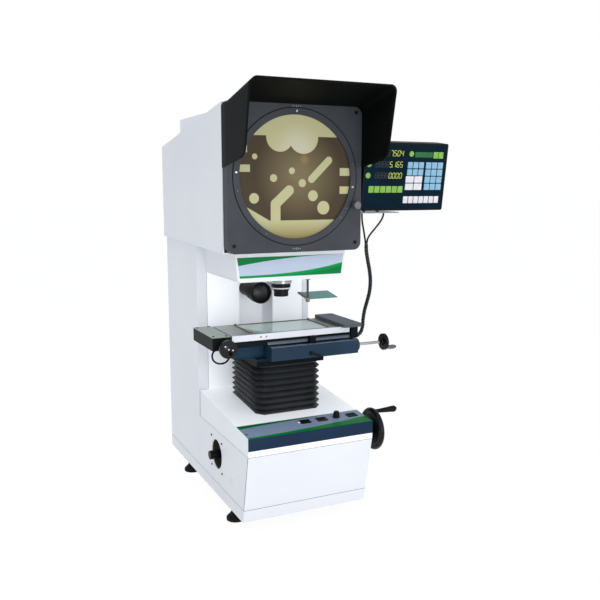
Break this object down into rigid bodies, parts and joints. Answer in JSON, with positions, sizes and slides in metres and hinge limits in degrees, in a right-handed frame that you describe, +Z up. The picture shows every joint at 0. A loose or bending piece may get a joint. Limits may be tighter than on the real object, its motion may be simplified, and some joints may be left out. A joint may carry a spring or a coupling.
{
  "type": "optical comparator",
  "caption": "Upright optical comparator with a hooded round projection screen, a cross-travel glass stage on a screw lift, a swing-in half mirror and a tilting digital readout.",
  "frame": {"origin": "on the bench, midway between the four levelling feet", "axes": "+X to the operator's right, +Y to the back, +Z up"},
  "size_m": [0.669, 0.767, 1.105],
  "materials": {
    "white_enamel": "satin",
    "navy_band": "satin",
    "control_overlay": "satin",
    "black_oxide": "satin",
    "black_plastic": "satin",
    "foot_rubber": "matte",
    "mirror_glass": "polished",
    "frame_grey": "satin",
    "hood_black": "matte",
    "lens_steel": "satin",
    "lens_black": "satin",
    "clear_glass": "polished",
    "coated_glass": "polished",
    "ground_glass": "matte",
    "inner_grey": "satin",
    "well_olive": "matte",
    "belt_rubber": "matte",
    "bracket_grey": "satin",
    "cord_black": "satin",
    "knob_grey": "satin",
    "stage_blue": "satin",
    "bellows_fabric": "matte",
    "wheel_black": "satin",
    "carriage_grey": "satin",
    "table_grey": "satin",
    "dro_shell": "satin",
    "dro_overlay": "satin"
  },
  "bodies": {
    "root": {"base_pan": "white_enamel", "base_top": "white_enamel", "front_panel": "white_enamel", "front_band": "navy_band", "control_panel": "control_overlay", "screws": "black_oxide", "side_cover_left": "white_enamel", "side_cover_right": "white_enamel", "column_frame": "white_enamel", "rear_cover": "white_enamel", "mains_inlet": "black_plastic", "feet": "foot_rubber", "head_casing": "white_enamel", "mirrors": "mirror_glass", "screen_frame": "frame_grey", "hood": "hood_black", "chin": "white_enamel", "lens_mount": "lens_steel", "lens_barrel": "lens_black", "lens_glass": "clear_glass", "illuminator": "lens_black", "mirror_pin": "lens_steel", "lamp_house": "inner_grey", "profile_lamp": "clear_glass", "knob_well": "well_olive", "lift_guide": "inner_grey", "drive_belt": "belt_rubber", "dro_bracket": "bracket_grey", "lead_left": "cord_black", "lead_right": "cord_black", "bundle": "cord_black", "bellows": "bellows_fabric"},
    "screen": {"screen_ring": "frame_grey", "ground_glass": "ground_glass"},
    "screen_knob": {"screen_knob": "knob_grey"},
    "half_mirror": {"mirror_arm": "knob_grey", "half_mirror": "coated_glass"},
    "lift": {"lift_post": "lens_steel", "saddle": "stage_blue", "x_drive_bar": "stage_blue", "scale_lead": "cord_black"},
    "lead_screw": {"lead_screw": "lens_steel"},
    "drive_shaft": {"drive_shaft": "lens_steel"},
    "focus_wheel": {"focus_wheel": "wheel_black"},
    "focus_grip": {"focus_grip": "black_plastic"},
    "carriage": {"carriage": "carriage_grey", "scale_cover": "carriage_grey"},
    "x_wheel": {"x_wheel": "wheel_black"},
    "x_grip": {"x_grip": "black_plastic"},
    "table": {"table": "table_grey", "stage_glass": "clear_glass"},
    "y_wheel": {"y_wheel": "wheel_black"},
    "condenser": {"condenser": "inner_grey"},
    "condenser_knob": {"condenser_knob": "black_plastic"},
    "rocker_lamp": {"rocker_lamp": "black_plastic"},
    "rocker_profile": {"rocker_profile": "black_plastic"},
    "rocker_surface": {"rocker_surface": "black_plastic"},
    "dimmer_knob": {"dimmer_knob": "black_plastic"},
    "dro": {"dro_casing": "dro_shell", "dro_face": "dro_overlay"}
  },
  "joints": [
    {"name": "screen_turn", "type": "hinge", "parent": "root", "child": "screen", "pos_m": [0, -0.2335, 0.89], "axis": [0, 1, 0], "continuous": true},
    {"name": "screen_knob_turn", "type": "hinge", "parent": "root", "child": "screen_knob", "pos_m": [0.16203, -0.2335, 0.81988], "axis": [0, 1, 0], "continuous": true},
    {"name": "half_mirror_swing", "type": "hinge", "parent": "root", "child": "half_mirror", "pos_m": [0.075, -0.1475, 0.565], "axis": [0, 0, 1], "range_deg": [0, 149]},
    {"name": "focus_lift", "type": "slide", "parent": "root", "child": "lift", "axis": [0, 0, 1], "range_m": [-0.06, 0.03], "deforming": ["bellows"]},
    {"name": "lead_screw_turn", "type": "hinge", "parent": "root", "child": "lead_screw", "pos_m": [0, -0.0435, 0.07], "axis": [0, 0, 1], "range_deg": [-2160, 1080]},
    {"name": "drive_shaft_turn", "type": "hinge", "parent": "root", "child": "drive_shaft", "pos_m": [0.06, -0.0435, 0.07], "axis": [1, 0, 0], "range_deg": [-2160, 1080]},
    {"name": "focus_wheel_turn", "type": "hinge", "parent": "root", "child": "focus_wheel", "pos_m": [0.195, -0.2955, 0.229], "axis": [1, 0, 0], "range_deg": [-2160, 1080]},
    {"name": "focus_grip_spin", "type": "hinge", "parent": "focus_wheel", "child": "focus_grip", "pos_m": [0.23, -0.2955, 0.275], "axis": [1, 0, 0], "continuous": true},
    {"name": "x_travel", "type": "slide", "parent": "lift", "child": "carriage", "axis": [1, 0, 0], "range_m": [-0.075, 0.075]},
    {"name": "x_wheel_turn", "type": "hinge", "parent": "lift", "child": "x_wheel", "pos_m": [0.272, -0.2135, 0.4425], "axis": [1, 0, 0], "range_deg": [-2700, 2700]},
    {"name": "x_grip_spin", "type": "hinge", "parent": "x_wheel", "child": "x_grip", "pos_m": [0.295, -0.2135, 0.4255], "axis": [1, 0, 0], "continuous": true},
    {"name": "y_travel", "type": "slide", "parent": "carriage", "child": "table", "axis": [0, 1, 0], "range_m": [-0.025, 0.025]},
    {"name": "y_wheel_turn", "type": "hinge", "parent": "carriage", "child": "y_wheel", "pos_m": [-0.19, -0.2385, 0.47], "axis": [0, 1, 0], "range_deg": [-1800, 1800]},
    {"name": "condenser_travel", "type": "slide", "parent": "root", "child": "condenser", "axis": [1, 0, 0], "range_m": [-0.008, 0.008]},
    {"name": "condenser_knob_turn", "type": "hinge", "parent": "root", "child": "condenser_knob", "pos_m": [-0.18, -0.0965, 0.149], "axis": [1, 0, 0], "range_deg": [-360, 360]},
    {"name": "rocker_lamp_press", "type": "hinge", "parent": "root", "child": "rocker_lamp", "pos_m": [0.004, -0.28026, 0.26418], "axis": [1, 0, 0], "range_deg": [-16, 0]},
    {"name": "rocker_profile_press", "type": "hinge", "parent": "root", "child": "rocker_profile", "pos_m": [0.052, -0.28026, 0.26418], "axis": [1, 0, 0], "range_deg": [-16, 0]},
    {"name": "rocker_surface_press", "type": "hinge", "parent": "root", "child": "rocker_surface", "pos_m": [0.14, -0.28026, 0.26418], "axis": [1, 0, 0], "range_deg": [-16, 0]},
    {"name": "dimmer_turn", "type": "hinge", "parent": "root", "child": "dimmer_knob", "pos_m": [0.094, -0.2805, 0.26717], "axis": [0, -0.08, 0.9968], "range_deg": [-150, 150]},
    {"name": "dro_tilt", "type": "hinge", "parent": "root", "child": "dro", "pos_m": [0.23, -0.17372, 0.82282], "axis": [1, 0, 0], "range_deg": [-20, 0]}
  ],
  "couplings": [
    {"joint": "screen_knob_turn", "follows": "screen_turn", "ratio": -21.062},
    {"joint": "lead_screw_turn", "follows": "focus_lift", "rad_per_m": 628.32},
    {"joint": "drive_shaft_turn", "follows": "focus_lift", "rad_per_m": 628.32},
    {"joint": "focus_wheel_turn", "follows": "focus_lift", "rad_per_m": 628.32},
    {"joint": "x_wheel_turn", "follows": "x_travel", "rad_per_m": 628.32},
    {"joint": "y_wheel_turn", "follows": "y_travel", "rad_per_m": 1256.6},
    {"joint": "condenser_knob_turn", "follows": "condenser_travel", "rad_per_m": 785.4}
  ]
}
